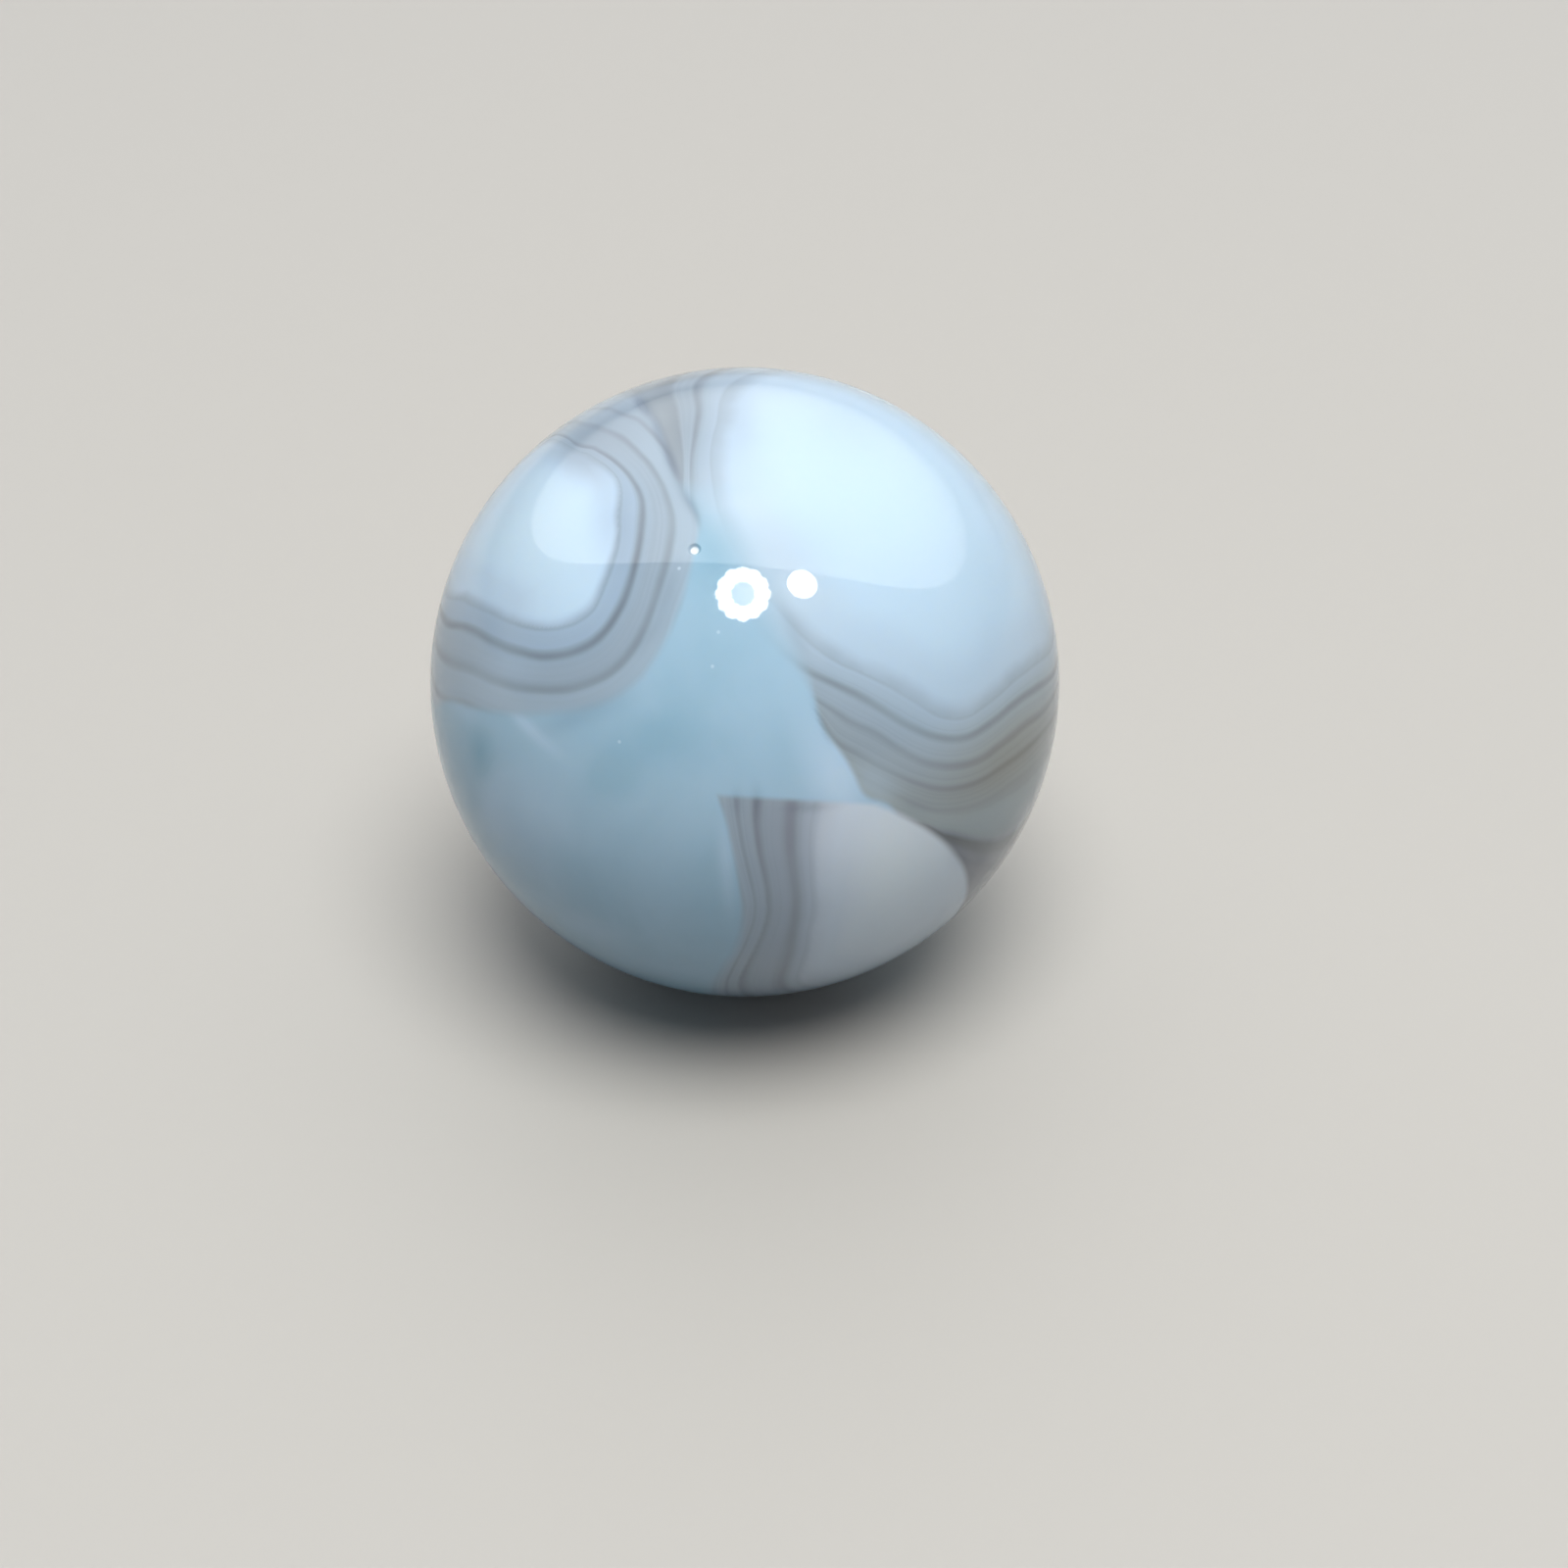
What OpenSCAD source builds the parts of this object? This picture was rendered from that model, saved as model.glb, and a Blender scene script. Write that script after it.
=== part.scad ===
// Toy marble: one solid glass ball, pressed round while hot.
// Its origin is the ball's centre, +Z is up as it sits, and its front faces -Y.

/* [Ball] */
// Diameter of the glass ball
ball_d = 15.9; // [12:0.1:50]

/* [Open bubble] */
// Diameter of the mouth that a burst air bubble left in the surface
bubble_mouth_d = 0.3; // [0.1:0.05:0.8]
// Depth of that bubble under the ball's surface
bubble_depth = 0.08; // [0.04:0.01:0.3]
// Bubble's turn about +Z from the +X axis, in degrees
bubble_longitude = 256; // [0:1:359]
// Bubble's height above the equator, in degrees
bubble_latitude = 54; // [-90:1:90]

/* [Hidden] */
$fn = 128;
ball_r = ball_d / 2;

// Height of the cap that a circle of radius mouth_r cuts off a ball of radius r.
function cap_height(r, mouth_r) = r - sqrt(r * r - mouth_r * mouth_r);

// The bubble was a small sphere. Its bottom lies bubble_depth under the ball's surface, and it
// meets that surface in a circle bubble_mouth_d wide, so its radius follows from the two.
mouth_r = bubble_mouth_d / 2;
bubble_sag = bubble_depth - cap_height(ball_r, mouth_r);
bubble_r = (mouth_r * mouth_r + bubble_sag * bubble_sag) / (2 * bubble_sag);
bubble_centre_r = ball_r - bubble_depth + bubble_r;

// Puts its child on the ray at a longitude and a latitude, at a distance from the origin.
module at_direction(longitude, latitude, distance)
    rotate([0, -latitude, longitude])
        translate([distance, 0, 0])
            children();

// The air that the open bubble leaves in the surface.
module open_bubble()
    at_direction(bubble_longitude, bubble_latitude, bubble_centre_r)
        sphere(r = bubble_r);

// The whole marble: the coloured streams of glass are fused into this one solid.
module marble()
    color("#bdd3de")
        difference() {
            sphere(r = ball_r);
            open_bubble();
        }

marble();
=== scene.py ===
"""A solid glass toy marble: milky and smoky streams of glass folded into blue-grey glass, rolled round.

The ball's surface is worked out with numpy. Each fold of coloured glass is a nest of closed rings round a
core, kept on the ball as smooth attributes; the glass material turns those into bands and thin lines.
Lengths are metres and angles degrees unless a name says otherwise.
"""

import logging
import math
from collections.abc import Sequence
from dataclasses import dataclass, field
from enum import Enum
from typing import Any

import bpy
import numpy as np
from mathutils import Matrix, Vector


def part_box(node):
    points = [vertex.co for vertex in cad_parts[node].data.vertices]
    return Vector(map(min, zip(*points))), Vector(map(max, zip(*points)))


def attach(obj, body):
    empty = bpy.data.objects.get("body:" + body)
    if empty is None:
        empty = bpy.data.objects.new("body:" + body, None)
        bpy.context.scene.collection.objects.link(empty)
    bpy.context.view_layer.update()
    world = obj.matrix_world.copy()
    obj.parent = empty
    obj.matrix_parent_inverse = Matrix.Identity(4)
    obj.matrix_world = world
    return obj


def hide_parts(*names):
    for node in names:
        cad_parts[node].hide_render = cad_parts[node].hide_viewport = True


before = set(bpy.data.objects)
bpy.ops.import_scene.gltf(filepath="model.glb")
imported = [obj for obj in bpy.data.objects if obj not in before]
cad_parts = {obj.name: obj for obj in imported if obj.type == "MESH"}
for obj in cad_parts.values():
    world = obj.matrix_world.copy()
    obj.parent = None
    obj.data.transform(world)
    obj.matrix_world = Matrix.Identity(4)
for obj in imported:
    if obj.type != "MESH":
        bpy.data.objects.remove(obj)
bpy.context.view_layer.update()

MILLIMETRE = 0.001
BODY = "root"
GLASS_NODE = "marble"
# The least gap between two rings of a fold, in degrees, which keeps the levels in order.
SMALLEST_GAP = 0.5
# How far apart two bearings lie for the slope of a fold's outline, in degrees.
SLOPE_STEP = 0.5
# The least sine of an outline's distance, so that its slope stays finite at the core.
LEAST_SINE = 0.1
# How many widths of its edge a fold's cover is followed, inwards and outwards.
MOST_COVER = 8

Colour = tuple[float, float, float]
PicturePoint = tuple[float, float]
Pair = tuple[float, float]

log = logging.getLogger("marble")


def linear(red: float, green: float, blue: float) -> Colour:
    """Turns a colour as it looks on a screen into linear light.

    Each channel c, as a share of 255, becomes ((c + 0.055) / 1.055) to the power 2.4.

    Args:
        red: red, 0 to 255.
        green: green, 0 to 255.
        blue: blue, 0 to 255.

    Returns:
        The three channels, 0 to 1, in linear light.
    """
    return tuple(((c / 255 + 0.055) / 1.055) ** 2.4 for c in (red, green, blue))


def unit(vectors: np.ndarray) -> np.ndarray:
    """Returns the vectors, each divided by its own length."""
    return vectors / np.linalg.norm(vectors, axis=-1, keepdims=True)


def towards(longitude: float, latitude: float) -> np.ndarray:
    """Returns the unit vector (cos lat cos lon, cos lat sin lon, sin lat) of a direction."""
    lon, lat = math.radians(longitude), math.radians(latitude)
    return np.array([math.cos(lat) * math.cos(lon), math.cos(lat) * math.sin(lon), math.sin(lat)])


# ---------------------------------------------------------------------------------------- sight lines


@dataclass(frozen=True)
class Sight:
    """Where the camera stands, and which point of the ball lies behind a point of its picture.

    Picture points are in pixels of a square picture, x to the right and y down.

    Attributes:
        ball_radius: the ball's radius.
        elevation: how high the camera stands, as the ball sees it.
        distance_in_radii: how far it stands from the ball's centre, over the ball's radius.
        picture_side: the picture's side.
        ball_centre: the picture point of the ball's centre.
        ball_outline_radius: the radius of the ball's outline in the picture.
    """

    ball_radius: float
    elevation: float = 32.0
    distance_in_radii: float = 9.0
    picture_side: float = 1600.0
    ball_centre: PicturePoint = (760.4, 697.0)
    ball_outline_radius: float = 321.0

    @property
    def focal_length(self) -> float:
        """The focal length in pixels: the outline's radius times sqrt(distance² - 1), in radii."""
        return self.ball_outline_radius * math.sqrt(self.distance_in_radii**2 - 1)

    @property
    def place(self) -> np.ndarray:
        """The camera's place, in front of the ball (-Y) and above it."""
        return self.distance_in_radii * self.ball_radius * towards(-90, self.elevation)

    def axes(self) -> np.ndarray:
        """Works out the level camera's axes, turned until the ball's centre lands on its picture point.

        With q the ball's direction in the camera's own axes and e the elevation, the turn a about the
        vertical follows from sin a = -q.x / cos e, and the tilt b from  A sin b - B cos b = q.y,  where
        A = cos a cos e and B = sin e.

        Returns:
            Three rows: the camera's right, up and forward.
        """
        middle = self.picture_side / 2
        q = unit(np.array([self.ball_centre[0] - middle, middle - self.ball_centre[1], self.focal_length]))
        e = math.radians(self.elevation)
        turn = math.asin(-q[0] / math.cos(e))
        across, rise = math.cos(turn) * math.cos(e), math.sin(e)
        tilt = math.asin(q[1] / math.hypot(across, rise)) + math.atan2(rise, across)
        forward = np.array(
            [math.sin(turn) * math.cos(tilt), math.cos(turn) * math.cos(tilt), -math.sin(tilt)]
        )
        right = np.array([math.cos(turn), -math.sin(turn), 0.0])
        return np.stack([right, np.cross(right, forward), forward])

    def on_glass(self, points: Sequence[PicturePoint]) -> np.ndarray:
        """Finds where the sight lines through picture points first meet the ball.

        With the camera at c and a unit sight line d, the nearer root of |c + t d| = R is
        t = -(d.c) - sqrt((d.c)² - |c|² + R²). A line that just misses takes the ball's nearest point.

        Args:
            points: picture points.

        Returns:
            One unit vector from the ball's centre for each point.
        """
        middle = self.picture_side / 2
        picture = np.asarray(points, float)
        steps = np.stack(
            [picture[:, 0] - middle, middle - picture[:, 1], np.full(len(picture), self.focal_length)], 1
        )
        lines = unit(steps @ self.axes())
        along = lines @ self.place
        inside = np.maximum(along**2 - self.place @ self.place + self.ball_radius**2, 0)
        reach = -along - np.sqrt(inside)
        return unit(self.place + reach[:, None] * lines)

    def mirrored(self, point: PicturePoint) -> np.ndarray:
        """Finds the direction that the glass mirrors to the camera at a picture point.

        With n the ball's normal there and v the unit vector to the camera, it is 2 (n.v) n - v.

        Args:
            point: the picture point where the glint lies.

        Returns:
            The unit vector from the ball towards what is mirrored there.
        """
        normal = self.on_glass([point])[0]
        view = unit(self.place - self.ball_radius * normal)
        return 2 * (normal @ view) * normal - view


# ---------------------------------------------------------------------------------------- folds of glass


@dataclass(frozen=True)
class Ring:
    """One closed line round a fold's core.

    Attributes:
        seen: its points on the camera's side, as picture points.
        hidden: its points on the far side, each a bearing round the core and a distance from it.
    """

    seen: tuple[PicturePoint, ...] = ()
    hidden: tuple[Pair, ...] = ()


@dataclass(frozen=True)
class Edge:
    """A cut that ends a fold along a circle on the ball.

    Attributes:
        through: three picture points of the circle.
        inside: a picture point on the side that the fold keeps.
        softness: how far the cut fades, in metres.
    """

    through: tuple[PicturePoint, PicturePoint, PicturePoint]
    inside: PicturePoint
    softness: float


@dataclass(frozen=True)
class Fold:
    """A stream of coloured glass folded round a core, as rings nested inside an outline.

    Attributes:
        name: the start of its attributes' names.
        core: the direction of its core, a unit vector.
        sight: turns the rings' picture points into directions.
        rings: the nested rings, from the core outwards, at levels 1, 2 and so on.
        outline: the ring where the stream ends.
        softness: (bearing, width) pairs: how far the outline fades at each bearing, in metres.
        ink: (bearing, strength) pairs: how strongly the bands and thin lines show at each bearing.
        edges: cuts that end the stream inside its outline.
    """

    name: str
    core: np.ndarray
    sight: Sight
    rings: tuple[Ring, ...]
    outline: Ring
    softness: tuple[Pair, ...]
    ink: tuple[Pair, ...]
    edges: tuple[Edge, ...] = ()

    def polar(self, directions: np.ndarray) -> tuple[np.ndarray, np.ndarray]:
        """Gives directions in polar form round the core.

        The bearing is measured from the east of the core towards its north, and the distance is the angle
        whose cosine is direction . core.

        Args:
            directions: unit vectors, one a row.

        Returns:
            The bearings, -180 to 180, and the distances, 0 to 180, in degrees.
        """
        east = unit(np.cross([0.0, 0.0, 1.0], self.core))
        north = np.cross(self.core, east)
        bearing = np.degrees(np.arctan2(directions @ north, directions @ east))
        distance = np.degrees(np.arccos(np.clip(directions @ self.core, -1, 1)))
        return bearing, distance

    def reach(self, ring: Ring, bearing: np.ndarray) -> np.ndarray:
        """Works out how far from the core a ring lies.

        Args:
            ring: the ring, whose points are joined by a smooth closed curve.
            bearing: bearings round the core.

        Returns:
            The ring's distance from the core at each bearing.
        """
        hidden = np.asarray(ring.hidden, float).reshape(-1, 2)
        seen = self.polar(self.sight.on_glass(ring.seen)) if ring.seen else ([], [])
        bearings, distances = (np.concatenate([seen[i], hidden[:, i]]) for i in (0, 1))
        return round_the_core(bearings, distances, bearing)

    def level(self, bearing: np.ndarray, distance: np.ndarray) -> np.ndarray:
        """Works out how far out in the nest of rings each point lies.

        At one bearing the rings lie at distances d1 < d2 < ... from the core. The level is 0 at the core
        and i on ring i, and runs evenly from ring to ring. Past the last ring it goes on at the last rate.

        Args:
            bearing: bearings round the core.
            distance: distances from the core.

        Returns:
            The level at each point.
        """
        inner = np.zeros_like(bearing)
        level = np.zeros_like(bearing)
        gap = inner
        for ring in self.rings:
            outer = np.maximum(self.reach(ring, bearing), inner + SMALLEST_GAP)
            gap = outer - inner
            level += np.clip((distance - inner) / gap, 0, 1)
            inner = outer
        return level + np.maximum(distance - inner, 0) / gap

    def cover(self, directions: np.ndarray, radius: float) -> np.ndarray:
        """Works out how deep inside the stream each point lies, in widths of its fading edge.

        The distance to the outline is taken along the bearing and shortened by the outline's slope there:
        (d_out - d) / sqrt(1 + (d_out' / sin d_out)²). The distance to an edge's circle is that to its
        plane. The smallest of them counts, each over its own width.

        Args:
            directions: unit vectors, one a row.
            radius: the ball's radius.

        Returns:
            The depth over the width: above 1 is all stream, below -1 is none.
        """
        bearing, distance = self.polar(directions)
        outer = self.reach(self.outline, bearing)
        ahead = self.reach(self.outline, bearing + SLOPE_STEP)
        slope = (ahead - outer) / SLOPE_STEP / np.maximum(np.sin(np.radians(outer)), LEAST_SINE)
        depth = np.radians(outer - distance) * radius / np.sqrt(1 + slope**2)
        result = depth / evenly_between(self.softness, bearing)
        for edge in self.edges:
            a, b, c = self.sight.on_glass(edge.through)
            normal = unit(np.cross(b - a, c - a))
            side = np.sign((self.sight.on_glass([edge.inside])[0] - a) @ normal)
            result = np.minimum(result, (directions - a) @ normal * side * radius / edge.softness)
        return result

    def fields(self, directions: np.ndarray, radius: float) -> dict[str, np.ndarray]:
        """Works out everything that the glass material reads about this fold.

        Args:
            directions: unit vectors, one a row.
            radius: the ball's radius.

        Returns:
            The attributes by name: the level, the cover and the ink.
        """
        bearing, distance = self.polar(directions)
        return {
            f"{self.name}_level": self.level(bearing, distance),
            f"{self.name}_cover": np.clip(self.cover(directions, radius), -MOST_COVER, MOST_COVER),
            f"{self.name}_ink": evenly_between(self.ink, bearing),
        }


def evenly_between(pairs: Sequence[Pair], at: np.ndarray) -> np.ndarray:
    """Returns values that run straight from one (bearing, value) pair to the next, round the circle."""
    bearings, values = np.transpose(pairs)
    return np.interp(at, bearings, values, period=360)


def round_the_core(bearings: np.ndarray, values: np.ndarray, at: np.ndarray) -> np.ndarray:
    """Draws a smooth closed curve through values given at a few bearings.

    Between two bearings a cubic joins their values, with the slope at each taken from the parabola through
    it and its two neighbours; the last bearing is followed by the first, a full turn on.

    Args:
        bearings: the given bearings, in any order.
        values: the value at each.
        at: the bearings wanted.

    Returns:
        The curve's value at each wanted bearing.
    """
    order = np.argsort(np.mod(bearings, 360))
    knots = np.mod(bearings, 360)[order]
    heights = np.asarray(values, float)[order]
    knots = np.concatenate([knots[-2:] - 360, knots, knots[:2] + 360])
    heights = np.concatenate([heights[-2:], heights, heights[:2]])
    spans = np.diff(knots)
    rises = np.diff(heights) / spans
    slopes = (rises[:-1] * spans[1:] + rises[1:] * spans[:-1]) / (spans[:-1] + spans[1:])
    knots, heights, spans = knots[1:-1], heights[1:-1], spans[1:-1]
    wanted = np.mod(at, 360)
    left = np.clip(np.searchsorted(knots, wanted, side="right") - 1, 0, len(spans) - 1)
    t = (wanted - knots[left]) / spans[left]
    rise = heights[left + 1] - heights[left]
    start = slopes[left] * spans[left]
    end = slopes[left + 1] * spans[left]
    return heights[left] + start * t + (3 * rise - 2 * start - end) * t**2 + (start + end - 2 * rise) * t**3


# ---------------------------------------------------------------------------------------- the ball


@dataclass(frozen=True)
class Ball:
    """The ball, rolled round, with one air bubble that burst at its surface.

    Attributes:
        radius: the ball's radius.
        bubble_mouth: how wide the open bubble is at the surface.
        bubble_depth: how far its bottom lies under the surface.
        lip_roundness: how near the wall and the ball's surface come before their corner is rounded.
        painted_glint_share: how far out the painted highlight in the bubble reaches, over the mouth's width.
        spokes: the points round each ring of the mesh.
        finest_step: the step between the rings nearest the bubble.
        fine_steps: how many of those steps there are.
        step_growth: how much longer each step after those is than the one before.
        most_steps: more steps than it takes to reach the far side.
    """

    radius: float
    bubble_mouth: float = 0.30 * MILLIMETRE
    bubble_depth: float = 0.08 * MILLIMETRE
    bubble_longitude: float = 256.0
    bubble_latitude: float = 54.0
    lip_roundness: float = 0.012 * MILLIMETRE
    painted_glint_share: float = 0.4
    spokes: int = 408
    finest_step: float = 0.013 * MILLIMETRE
    coarsest_step: float = 0.117 * MILLIMETRE
    fine_steps: int = 18
    step_growth: float = 1.13
    most_steps: int = 1000

    def profile(self) -> tuple[np.ndarray, np.ndarray]:
        """Works out the ball's profile from the bubble's axis to the far side.

        The steps along the surface are finest at the bubble, then grow by a fixed share up to the coarsest.
        The bubble is a sphere of radius b whose centre lies c from the ball's. At angle t from the axis its
        wall is c cos t - sqrt(b² - c² sin² t) from the ball's centre, and the profile is the smooth minimum
        of that and the ball's radius.

        Returns:
            The angles from the bubble's axis in radians, and the profile's distance from the centre at each.
        """
        number = np.arange(self.most_steps)
        steps = self.finest_step * self.step_growth ** np.maximum(number - self.fine_steps, 0)
        reach = np.cumsum(np.minimum(steps, self.coarsest_step)) / self.radius
        angles = reach[reach < math.pi - 0.5 * self.coarsest_step / self.radius]
        mouth = self.bubble_mouth / 2
        sag = self.bubble_depth - (self.radius - math.sqrt(self.radius**2 - mouth**2))
        bubble_radius = (mouth**2 + sag**2) / (2 * sag)
        centre = self.radius - self.bubble_depth + bubble_radius
        beside = centre * np.sin(angles)
        wall = centre * np.cos(angles) - np.sqrt(np.maximum(bubble_radius**2 - beside**2, 0))
        near = (beside < bubble_radius) & (angles < math.pi / 2)
        wall = np.where(near, wall, 2 * self.radius)
        closeness = np.maximum(self.lip_roundness - np.abs(wall - self.radius), 0) / self.lip_roundness
        rounded = np.minimum(wall, self.radius) - closeness**2 * self.lip_roundness / 4
        return angles, rounded

    def pit(self) -> tuple[np.ndarray, float]:
        """Returns the bottom of the open bubble, and how far out the painted highlight in it reaches."""
        axis = towards(self.bubble_longitude, self.bubble_latitude)
        return axis * (self.radius - self.bubble_depth), self.painted_glint_share * self.bubble_mouth

    def surface(self) -> tuple[np.ndarray, np.ndarray, np.ndarray]:
        """Carries the profile round the bubble's axis.

        A point at angle t from the axis a and turn p is  r(t) (cos t a + sin t (cos p u + sin p w)),  with
        u and w across the axis. Both ends close on one point.

        Returns:
            The vertices, the quads between rings, and the triangles at the two ends.
        """
        angles, distances = self.profile()
        axis = towards(self.bubble_longitude, self.bubble_latitude)
        across = unit(np.cross([0.0, 0.0, 1.0], axis))
        along = np.cross(axis, across)
        turns = np.linspace(0, 2 * math.pi, self.spokes, endpoint=False)
        spoke = np.cos(turns)[:, None] * across + np.sin(turns)[:, None] * along
        rings = np.cos(angles)[:, None, None] * axis + np.sin(angles)[:, None, None] * spoke
        rings *= distances[:, None, None]
        ends = np.stack([axis * (self.radius - self.bubble_depth), -axis * self.radius])
        vertices = np.concatenate([rings.reshape(-1, 3), ends])
        start = len(angles) * self.spokes
        start_fan = fan(start, 0, self.spokes)
        end_fan = fan(start + 1, start - self.spokes, self.spokes)[:, [0, 2, 1]]
        return vertices, belts(len(angles), self.spokes), np.concatenate([start_fan, end_fan])


def belts(rings: int, spokes: int) -> np.ndarray:
    """Works out the quads between rings of points.

    Point k of ring i is number i spokes + k. Its quad goes on to point k of the next ring, that ring's
    point k + 1 and this ring's point k + 1, and the last point is followed by the first.

    Args:
        rings: the number of rings.
        spokes: the points in each.

    Returns:
        Four vertex numbers a row.
    """
    ring = np.arange(rings - 1)[:, None] * spokes
    here = np.arange(spokes)[None, :]
    following = (here + 1) % spokes
    corners = [ring + here, ring + spokes + here, ring + spokes + following, ring + following]
    return np.stack(corners, -1).reshape(-1, 4)


def fan(middle: int, first: int, spokes: int) -> np.ndarray:
    """Returns the triangles from a middle vertex to each pair of neighbours in a ring of points."""
    here = first + np.arange(spokes)
    return np.stack([np.full(spokes, middle), here, np.roll(here, -1)], 1)


def new_mesh(name: str, vertices: np.ndarray, quads: np.ndarray, triangles: np.ndarray) -> bpy.types.Mesh:
    """Puts whole arrays of vertices and faces into a smooth mesh.

    Args:
        name: the mesh's name.
        vertices: points, one a row.
        quads: four vertex numbers a row.
        triangles: three vertex numbers a row.

    Returns:
        The mesh.
    """
    mesh = bpy.data.meshes.new(name)
    mesh.vertices.add(len(vertices))
    mesh.vertices.foreach_set("co", vertices.astype(np.float32).ravel())
    corners = np.concatenate([quads.ravel(), triangles.ravel()]).astype(np.int32)
    mesh.loops.add(len(corners))
    mesh.loops.foreach_set("vertex_index", corners)
    sizes = np.concatenate([np.full(len(quads), 4), np.full(len(triangles), 3)])
    starts = np.concatenate([[0], np.cumsum(sizes)[:-1]]).astype(np.int32)
    mesh.polygons.add(len(sizes))
    mesh.polygons.foreach_set("loop_start", starts)
    mesh.polygons.foreach_set("use_smooth", np.ones(len(sizes), bool))
    mesh.update(calc_edges=True)
    mesh.validate()
    return mesh


def new_object(name: str, mesh: bpy.types.Mesh, material: bpy.types.Material) -> bpy.types.Object:
    """Links a mesh with its material into the scene, at the origin, and logs its size.

    Args:
        name: the object's name.
        mesh: its mesh.
        material: its one material.

    Returns:
        The object.
    """
    mesh.materials.append(material)
    piece = bpy.data.objects.new(name, mesh)
    bpy.context.scene.collection.objects.link(piece)
    size = [round(side / MILLIMETRE, 2) for side in piece.dimensions]
    log.info("%s: %d vertices, %d faces, %s mm", name, len(mesh.vertices), len(mesh.polygons), size)
    return piece


# ---------------------------------------------------------------------------------------- shader kit


class Board:
    """Puts nodes into one node tree."""

    def __init__(self, tree: bpy.types.NodeTree) -> None:
        """Takes an empty or a fresh tree and clears it."""
        self.tree = tree
        tree.nodes.clear()

    def node(
        self, kind: str, settings: dict[str, Any] | None = None, sockets: dict[str, Any] | None = None
    ) -> bpy.types.Node:
        """Makes a node, applies its settings and then fills its sockets.

        Args:
            kind: the node's type.
            settings: its properties; "stops" and "ramp" hold a ramp's (place, colour) pairs and its kind.
            sockets: values or wires by the socket's identifier or name.

        Returns:
            The node.
        """
        made = self.tree.nodes.new(kind)
        for key, value in (settings or {}).items():
            if key == "stops":
                set_stops(made.color_ramp, value)
            elif key == "ramp":
                made.color_ramp.interpolation = value
            else:
                setattr(made, key, value)
        for key, value in (sockets or {}).items():
            socket = find_socket(made.inputs, key)
            if isinstance(value, Wire):
                self.tree.links.new(value.socket, socket)
            elif isinstance(value, tuple) and len(value) == 3 and socket.type == "RGBA":
                socket.default_value = (*value, 1.0)
            else:
                socket.default_value = value
        return made

    def wire(self, kind: str, output: str, settings: dict[str, Any] | None = None, **sockets: Any) -> "Wire":
        """Makes a node from its settings and sockets, and returns one of its outputs."""
        return Wire(self, find_socket(self.node(kind, settings, sockets).outputs, output))

    def attribute(self, name: str) -> "Wire":
        """Returns the wire of one of the mesh's own attributes."""
        return self.wire("ShaderNodeAttribute", "Fac", {"attribute_name": name})

    def mix(self, kind: str, **sockets: Any) -> "Wire":
        """Returns two colours mixed in one of the ways that the Mix node knows."""
        settings = {"data_type": "RGBA", "blend_type": kind}
        return self.wire("ShaderNodeMix", "Result_Color", settings, **sockets)

    def blend(self, factor: "Wire | float", first: "Wire | Colour", second: "Wire | Colour") -> "Wire":
        """Returns first where the factor is 0 and second where it is 1, as a colour."""
        return self.mix("MIX", Factor_Float=factor, A_Color=first, B_Color=second)

    def tinted(self, factor: "Wire | float", colour: "Wire | Colour", tint: "Wire | Colour") -> "Wire":
        """Returns the colour multiplied by the tint where the factor is 1, and left alone where it is 0."""
        return self.mix("MULTIPLY", Factor_Float=factor, A_Color=colour, B_Color=tint)

    def ramp(self, at: "Wire", stops: Sequence[tuple[float, Colour]]) -> "Wire":
        """Returns the ramp's colour at a wire's value, easing from stop to stop."""
        return self.wire("ShaderNodeValToRGB", "Color", {"ramp": "EASE", "stops": stops}, Fac=at)

    def noise(self, place: "Wire", scale: float, detail: float = 2.0, warp: float = 0.0) -> "Wire":
        """Returns a noise of 0 to 1 whose lumps measure about 1 / scale metres."""
        sockets = {"Vector": place, "Scale": scale, "Detail": detail, "Distortion": warp}
        return self.wire("ShaderNodeTexNoise", "Fac", {"noise_dimensions": "3D"}, **sockets)

    def vector(self, operation: str, output: str = "Vector", **sockets: Any) -> "Wire":
        """Returns the result of one Vector Math node."""
        return self.wire("ShaderNodeVectorMath", output, {"operation": operation}, **sockets)

    def distance(self, place: "Wire", point: np.ndarray) -> "Wire":
        """Returns how far a place lies from a fixed point."""
        return self.vector("DISTANCE", "Value", Vector=place, Vector_001=tuple(point.tolist()))


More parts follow.
